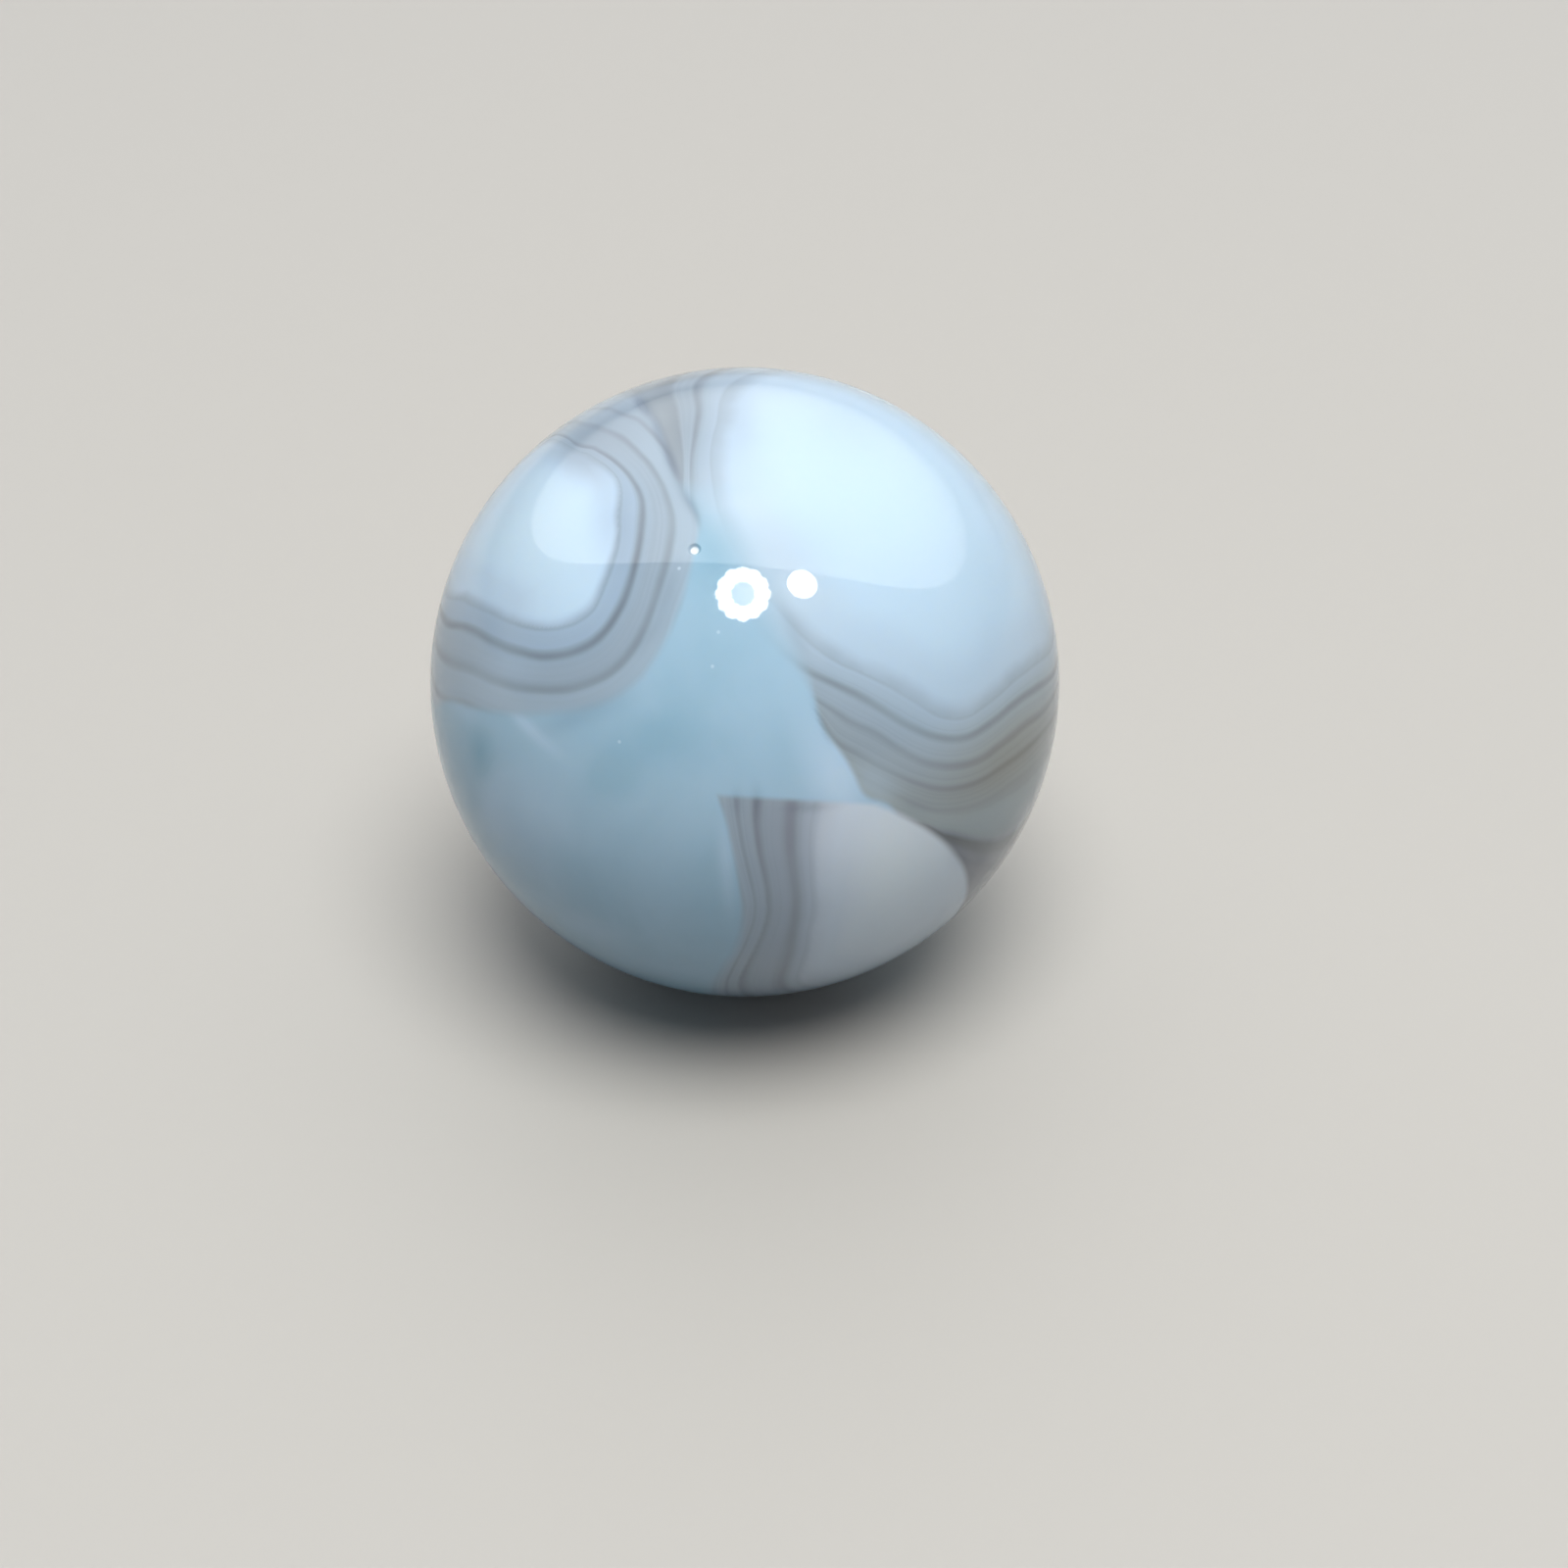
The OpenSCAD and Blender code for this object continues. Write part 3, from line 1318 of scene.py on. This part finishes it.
SMOKE = (
    Stream(
        name=Side.REAR.value,
        bands=(
            (0.0, linear(204, 232, 247)), (0.8, linear(196, 224, 240)), (1.4, linear(170, 195, 212)),
            (2.2, linear(158, 180, 194)), (3.0, linear(172, 188, 192)), (4.2, linear(156, 168, 168)),
            (5.5, linear(170, 184, 190)),
        ),
        lines=(
            Line(1.0, 0.2, 0.3, 0.35), Line(2.0, 0.3, 0.3, 0.5), Line(3.0, 0.35, 0.3, 0.4),
            Line(4.0, 0.3, 0.35, 0.45),
        ),
    ),
    Stream(
        name=Side.RIGHT.value,
        bands=(
            (0.0, (0.58, 0.765, 0.905)), (0.6, (0.575, 0.75, 0.89)), (0.88, (0.54, 0.69, 0.82)),
            (1.06, (0.455, 0.575, 0.68)), (1.7, (0.42, 0.53, 0.62)), (2.5, (0.385, 0.475, 0.55)),
            (3.5, (0.355, 0.425, 0.475)), (4.5, (0.35, 0.405, 0.43)), (5.5, (0.385, 0.445, 0.465)),
            (6.6, (0.25, 0.265, 0.30)),
        ),
        lines=(
            Line(1.0, 0.10, 0.18, 0.20), Line(2.0, 0.35, 0.28, 0.40), Line(3.0, 0.30, 0.30, 0.28),
            Line(4.0, 0.30, 0.30, 0.22), Line(5.0, 0.25, 0.30, 0.12), Line(6.0, 0.18, 0.35, 0.45),
        ),
    ),
    Stream(
        name=Side.LEFT.value,
        bands=(
            (0.0, (0.65, 0.83, 0.97)), (0.88, (0.62, 0.80, 0.96)), (1.04, (0.42, 0.55, 0.675)),
            (1.6, (0.405, 0.53, 0.655)), (2.0, (0.365, 0.47, 0.565)), (2.6, (0.375, 0.47, 0.555)),
            (3.3, (0.41, 0.52, 0.61)), (4.2, (0.42, 0.54, 0.64)),
        ),
        lines=(
            Line(1.0, 0.12, 0.15, 0.20), Line(2.0, 0.32, 0.22, 0.47), Line(3.0, 0.30, 0.22, 0.36),
            Line(4.0, 0.22, 0.20, 0.35),
        ),
        pale=(0.50, 0.605, 0.695),
    ),
    Stream(
        name=Side.LOWER.value,
        bands=(
            (0.0, (0.80, 0.88, 0.93)), (0.9, (0.70, 0.78, 0.87)), (1.4, (0.47, 0.54, 0.62)),
            (2.0, (0.36, 0.41, 0.48)), (2.6, (0.36, 0.42, 0.49)), (3.3, (0.36, 0.43, 0.50)),
            (4.2, (0.37, 0.45, 0.53)), (5.5, (0.39, 0.49, 0.58)),
        ),
        lines=(
            Line(1.0, 0.25, 0.3, 0.10), Line(2.0, 0.35, 0.40, 0.25), Line(3.0, 0.30, 0.30, 0.32),
            Line(4.0, 0.30, 0.30, 0.20), Line(5.0, 0.30, 0.25, 0.15),
        ),
    ),
)

# Milk and clear pools in the glass, and one painted dark reflection between the folds.
VEILS_AND_DARK_REFLECTION: Patches = {
    "wisp_below_left_fold": Patch((537, 740), (565, 765), 0.00018, 0.55),
    "left_rim_milk": Patch((475, 725), (500, 740), 0.00035, 0.35),
    "lower_left_milk": Patch((500, 825), (505, 790), 0.0006, 0.35),
    "left_pool": Patch((490, 768), (488, 790), 0.00045, -0.7),
    "middle_pool": Patch((625, 790), (660, 780), 0.0006, -0.22),
    "pool_beside_left_fold": Patch((675, 750), (700, 740), 0.0005, -0.22),
    "milk_beside_right_fold": Patch((855, 795), (835, 745), 0.0006, 0.8),
    "milk_beside_flap": Patch((741, 880), (745, 930), 0.00018, 0.5),
    "milk_at_the_foot": Patch((545, 840), (590, 890), 0.0020, 0.35),
    # painted dark reflection: darkens the glass where a dark shape blocks the overhead reflection
    "painted_dark_reflection_between_the_folds": Patch((732, 552), (742, 588), 0.0006, -0.55),
}

# Stains and lines in the glass, with a patch of painted shade and one of painted dark reflection among them.
STAINS_AND_SHADE: Patches = {
    "left_outline_above": Patch((682, 605), (672, 637), 0.00022, 0.32),
    "left_outline_below": Patch((660, 650), (646, 668), 0.00018, 0.22),
    "gap_at_the_top": Patch((704, 440), (708, 385), 0.0009, 0.45),
    "pale_strand_in_the_gap": Patch((679, 430), (687, 468), 0.0003, -0.34),
    "left_inner_shoulder": Patch((590, 472), (618, 490), 0.0005, 0.45),
    "left_inner_flank": Patch((624, 528), (630, 572), 0.0005, 0.45),
    "left_outer_shoulder": Patch((616, 446), (650, 466), 0.0007, 0.50),
    "left_crown": Patch((641, 418), (664, 443), 0.0006, 0.48),
    # painted shade: dims the right core towards the top rim, where the lamps light it too brightly
    "painted_shade_right_core_top": Patch((855, 430), (905, 460), 0.0014, 0.20),
    "right_crown": Patch((755, 425), (752, 380), 0.0004, 0.22),
    "seam_top": Patch((655, 413), (664, 427), 0.00013, 0.85),
    "seam_upper_middle": Patch((672, 441), (679, 457), 0.00012, 0.75),
    "seam_lower_middle": Patch((684, 470), (693, 493), 0.00012, 0.80),
    "seam_foot": Patch((704, 513), (712, 527), 0.00012, 0.65),
    "right_cut_line": Patch((837, 736), (845, 756), 0.00005, 0.50),
    "right_pale_band": Patch((893, 796), (915, 812), 0.0004, -0.28),
    "left_pale_band": Patch((522, 680), (555, 688), 0.0005, -0.20),
    "right_pale_rim": Patch((1015, 825), (1040, 815), 0.0004, -0.08),
    "left_lower_edge": Patch((590, 731), (645, 710), 0.00025, 0.30),
    # painted dark reflection: dims the right core where a dark shape blocks the overhead reflection
    "painted_dark_reflection_right_core_foot": Patch((800, 562), (850, 562), 0.0009, 0.18),
    "flap_top_line": Patch((826, 824), (852, 822), 0.00012, 0.45),
    "flap_first_line_top": Patch((752, 819), (752, 832), 0.00013, 0.35),
    "flap_second_line_top": Patch((772, 819), (772, 834), 0.00013, 0.40),
    "flap_shoulder_line": Patch((976, 853), (1000, 858), 0.00012, 0.50),
    "flap_shoulder_shade": Patch((975, 870), (982, 884), 0.00022, 0.30),
    "right_cut_above": Patch((809, 640), (822, 668), 0.00018, 0.30),
    "left_fold_tip": Patch((711, 528), (708, 518), 0.00008, 0.35),
    "flap_behind_its_cut": Patch((932, 823), (950, 828), 0.00020, 0.25),
}

# A painted reflection of a brown surface in the right rim.
PAINTED_RIM_REFLECTIONS: Patches = {
    "painted_reflection_at_right_rim": Patch((1032, 765), (1078, 712), 0.0012, 1.0),
}

SEEDS: dict[str, PicturePoint] = {
    "below_the_ring": (733, 645),
    "middle": (727, 680),
    "lower_left": (632, 757),
    "beside_the_open_bubble": (693, 580),
}


# ---------------------------------------------------------------------------------------- the studio


@dataclass(frozen=True)
class Lamp:
    """A soft disc of light.

    Attributes:
        name: the lamp's name.
        centre: where its middle is.
        radius: its radius.
        radiance: its radiance, seen straight on.
        back: the unit vector that its back points along.
        spread: the full angle its light fans out to; seen more from the side, it is dimmer.
        lights_up: whether it lights what stands round it.
        mirrored: whether polished things mirror it.
    """

    name: str
    centre: np.ndarray
    radius: float
    radiance: float
    back: np.ndarray
    spread: float = 180.0
    lights_up: bool = True
    mirrored: bool = True

    @classmethod
    def facing(
        cls,
        name: str,
        direction: np.ndarray,
        distance: float,
        half_angle: float,
        radiance: float,
        **kind: bool,
    ) -> "Lamp":
        """Makes a lamp that faces the ball.

        Args:
            name: the lamp's name.
            direction: the unit vector from the ball to the lamp.
            distance: how far away it is.
            half_angle: its half angle, as the ball sees it.
            radiance: its radiance.
            **kind: lights_up or mirrored.

        Returns:
            The lamp, whose radius is distance tan(half angle).
        """
        radius = distance * math.tan(math.radians(half_angle))
        return cls(name, direction * distance, radius, radiance, direction, **kind)

    def place(self) -> bpy.types.Object:
        """Puts the lamp in the room.

        Its power is radiance times 4 times its area. A narrower spread makes Blender raise the radiance seen
        straight on by t / (t - h), where h is half the spread and t its tangent, which is taken out again.

        Returns:
            The lamp.
        """
        half = math.radians(self.spread / 2)
        raised = 1.0 if self.spread >= 180 else math.tan(half) / (math.tan(half) - half)
        light = bpy.data.lights.new(self.name, "AREA")
        light.shape = "DISK"
        light.size = 2 * self.radius
        light.spread = 2 * half
        light.energy = self.radiance / raised * 4 * math.pi * self.radius**2
        lamp = bpy.data.objects.new(self.name, light)
        lamp.location = self.centre
        lamp.rotation_euler = turned_from(self.back)
        lamp.visible_camera = False
        lamp.visible_diffuse = self.lights_up
        lamp.visible_glossy = self.mirrored
        bpy.context.scene.collection.objects.link(lamp)
        return lamp


def turned_from(back: np.ndarray) -> tuple[float, float, float]:
    """Works out the turn that points the front of a lamp or camera, its own -Z, away from a direction.

    It is a tilt from straight down by acos(z), and then a spin about the vertical by atan2(x, -y).

    Args:
        back: the unit vector that its back points along.

    Returns:
        The turns about X, Y and Z, in radians.
    """
    tilt = math.acos(max(-1.0, min(1.0, float(back[2]))))
    spin = math.atan2(float(back[0]), -float(back[1]))
    return (tilt, 0.0, spin)


@dataclass(frozen=True)
class Studio:
    """A pale floor, even light from all round, and lamps that either light the ball or only glint in it.

    A direction is a longitude and a latitude. A lamp is given by its direction or its glint's place, its
    distance, its half angle as the ball sees it, and its radiance.

    Attributes:
        sight: finds the lamps behind the glints.
        ball_radius: how far the floor lies below the ball's centre.
        floor_shown: the floor's colour where it is seen or mirrored.
        floor_bounced: its colour where light only bounces off it.
        panel_direction: the wide soft lamp behind and above the ball, which isn't mirrored.
        softbox_height: the disc overhead, facing straight down, which is only mirrored.
        softbox_middle: how far east and north of the ball its middle lies, over its height.
        softbox_reach: its radius, over its height.
        ring_glint: the middle of a ring of small lamps, with a fainter one inside it; all are only mirrored.
        ring_middle_distance: how far away the fainter one is, over lamp_distance.
        spot_glint: one more lamp that is only mirrored.
        key_direction: the lamp above and in front that lights the ball and isn't mirrored.
        wall_light: a glow low behind the ball, which only mirrors see.
        wall_bearing: its bearing, from the east towards the north.
        wall_sides: how squarely a direction faces that bearing where the glow starts and where it is whole.
        wall_top: how far up a direction points, as a sine, where the glow starts to fade and where it ends.
    """

    sight: Sight
    ball_radius: float
    floor_radius: float = 3.0
    floor_spokes: int = 64
    floor_rings: int = 12
    floor_shown: Colour = (0.50, 0.48, 0.44)
    floor_bounced: Colour = (0.15, 0.168, 0.172)
    floor_roughness: float = 0.6
    panel_direction: Pair = (76.0, 46.0)
    panel_distance: float = 1.2
    panel_half_angle: float = 63.4
    panel_radiance: float = 0.18
    softbox_height: float = 0.6
    softbox_middle: Pair = (0.30, 2.52)
    softbox_reach: float = 2.83
    softbox_spread: float = 158.0
    softbox_radiance: float = 1.9
    ring_glint: PicturePoint = (758, 607)
    ring_glint_radius: float = 20.0
    ring_lamps: int = 12
    ring_half_angle: float = 2.7
    ring_middle_half_angle: float = 4.6
    ring_middle_distance: float = 1.1
    ring_middle_radiance: float = 5.5
    spot_glint: PicturePoint = (818, 597)
    spot_half_angle: float = 5.0
    lamp_distance: float = 0.35
    lamp_radiance: float = 16.0
    key_direction: Pair = (-77.0, 71.0)
    key_half_angle: float = 20.0
    key_distance: float = 0.5
    key_radiance: float = 6.1
    room_light: float = 0.19
    wall_light: float = 0.50
    wall_bearing: float = 72.0
    wall_sides: Pair = (0.70, 0.90)
    wall_top: Pair = (0.10, 0.32)
    room_colour: Colour = (0.90, 0.97, 1.10)

    def build(self) -> None:
        """Builds the floor, the lamps and the world."""
        self.floor()
        panel = (towards(*self.panel_direction), self.panel_distance, self.panel_half_angle)
        Lamp.facing("panel", *panel, self.panel_radiance, mirrored=False).place()
        self.softbox().place()
        for number in range(self.ring_lamps):
            turn = 2 * math.pi * number / self.ring_lamps
            glint = (
                self.ring_glint[0] + self.ring_glint_radius * math.cos(turn),
                self.ring_glint[1] + self.ring_glint_radius * math.sin(turn),
            )
            bead = (self.sight.mirrored(glint), self.lamp_distance, self.ring_half_angle)
            Lamp.facing(f"ring_{number}", *bead, self.lamp_radiance, lights_up=False).place()
        distance = self.ring_middle_distance * self.lamp_distance
        middle = (self.sight.mirrored(self.ring_glint), distance, self.ring_middle_half_angle)
        Lamp.facing("ring_middle", *middle, self.ring_middle_radiance, lights_up=False).place()
        spot = (self.sight.mirrored(self.spot_glint), self.lamp_distance, self.spot_half_angle)
        Lamp.facing("spot", *spot, self.lamp_radiance, lights_up=False).place()
        key = (towards(*self.key_direction), self.key_distance, self.key_half_angle)
        Lamp.facing("key", *key, self.key_radiance, mirrored=False).place()
        self.world()

    def softbox(self) -> Lamp:
        """Lays out the disc overhead, whose near edge the ball mirrors.

        Returns:
            The lamp.
        """
        centre = np.array([*self.softbox_middle, 1.0]) * self.softbox_height
        reach = self.softbox_reach * self.softbox_height
        down = (self.softbox_radiance, np.array([0.0, 0.0, 1.0]), self.softbox_spread)
        return Lamp("softbox", centre, reach, *down, lights_up=False)

    def floor(self) -> bpy.types.Object:
        """Makes the floor, a disc under the ball.

        A point at distance r and turn p is (r cos p, r sin p, -R), with the distances doubling from ring to
        ring.

        Returns:
            The floor.
        """
        reach = self.floor_radius * 0.5 ** np.arange(self.floor_rings - 1, -1, -1)
        turns = np.linspace(0, 2 * math.pi, self.floor_spokes, endpoint=False)
        flat = np.stack([np.cos(turns), np.sin(turns)], 1)[None] * reach[:, None, None]
        flat = np.concatenate([flat.reshape(-1, 2), [[0, 0]]])
        vertices = np.concatenate([flat, np.full((len(flat), 1), -self.ball_radius)], 1)
        quads = belts(self.floor_rings, self.floor_spokes)
        mesh = new_mesh("floor", vertices, quads, fan(len(flat) - 1, 0, self.floor_spokes))
        floor = new_object("floor", mesh, self.floor_material())
        return floor

    def floor_material(self) -> bpy.types.Material:
        """Builds the floor's paint: pale where it is seen or mirrored, darker where light bounces off it.

        Returns:
            The material.
        """
        made = bpy.data.materials.new("floor_paint")
        made.use_nodes = True
        board = Board(made.node_tree)
        shown = board.wire("ShaderNodeLightPath", "Is Camera Ray")
        for ray in ("Is Glossy Ray", "Is Transmission Ray"):
            shown = shown.larger(board.wire("ShaderNodeLightPath", ray))
        colour = board.blend(shown, self.floor_bounced, self.floor_shown)
        paint = {"Base Color": colour, "Roughness": self.floor_roughness}
        shader = board.wire("ShaderNodeBsdfPrincipled", "BSDF", None, **paint)
        board.node("ShaderNodeOutputMaterial", None, {"Surface": shader})
        return made

    def world(self) -> None:
        """Fills the room with a soft, even light, and adds the glow that only mirrors see."""
        world = bpy.data.worlds.new("room")
        world.use_nodes = True
        bpy.context.scene.world = world
        board = Board(world.node_tree)
        way = board.wire("ShaderNodeTexCoord", "Generated")
        east, north, up = (board.wire("ShaderNodeSeparateXYZ", axis, None, Vector=way) for axis in "XYZ")
        bearing = math.radians(self.wall_bearing)
        side = (east * math.cos(bearing) + north * math.sin(bearing)).step(*self.wall_sides)
        mirrored = board.wire("ShaderNodeLightPath", "Is Glossy Ray")
        wall = mirrored * side * (1.0 - up.step(*self.wall_top)) * self.wall_light
        light = {"Color": self.room_colour, "Strength": wall + self.room_light}
        shader = board.wire("ShaderNodeBackground", "Background", None, **light)
        board.node("ShaderNodeOutputWorld", None, {"Surface": shader})


def place_camera(sight: Sight) -> None:
    """Puts the camera where the sight lines start and makes it the scene's.

    Args:
        sight: where it stands, how it is turned and how long its lens is.
    """
    camera = bpy.data.cameras.new("camera")
    camera.sensor_width = 36.0
    camera.lens = sight.focal_length / sight.picture_side * camera.sensor_width
    camera.clip_start = 0.005
    camera.clip_end = 20.0
    holder = bpy.data.objects.new("camera", camera)
    holder.location = sight.place
    holder.rotation_euler = turned_from(-sight.axes()[2])
    bpy.context.scene.collection.objects.link(holder)
    bpy.context.scene.camera = holder


def main() -> None:
    """Builds the marble, its floor and its lights, and notes its size."""
    logging.basicConfig(level=logging.INFO, format="%(message)s")
    ball = Ball(radius=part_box(GLASS_NODE)[1][2])
    sight = Sight(ball.radius)
    folds = (rear_fold(sight), right_fold(sight), left_fold(sight), lower_fold(sight))
    marble = Marble(ball, sight, folds, VEILS_AND_DARK_REFLECTION, STAINS_AND_SHADE, PAINTED_RIM_REFLECTIONS, SwirledGlass(SMOKE), SEEDS)
    marble.build()
    Studio(sight, ball.radius).build()
    place_camera(sight)
    bpy.context.scene.view_settings.view_transform = "Standard"


if __name__ == "__main__":
    main()
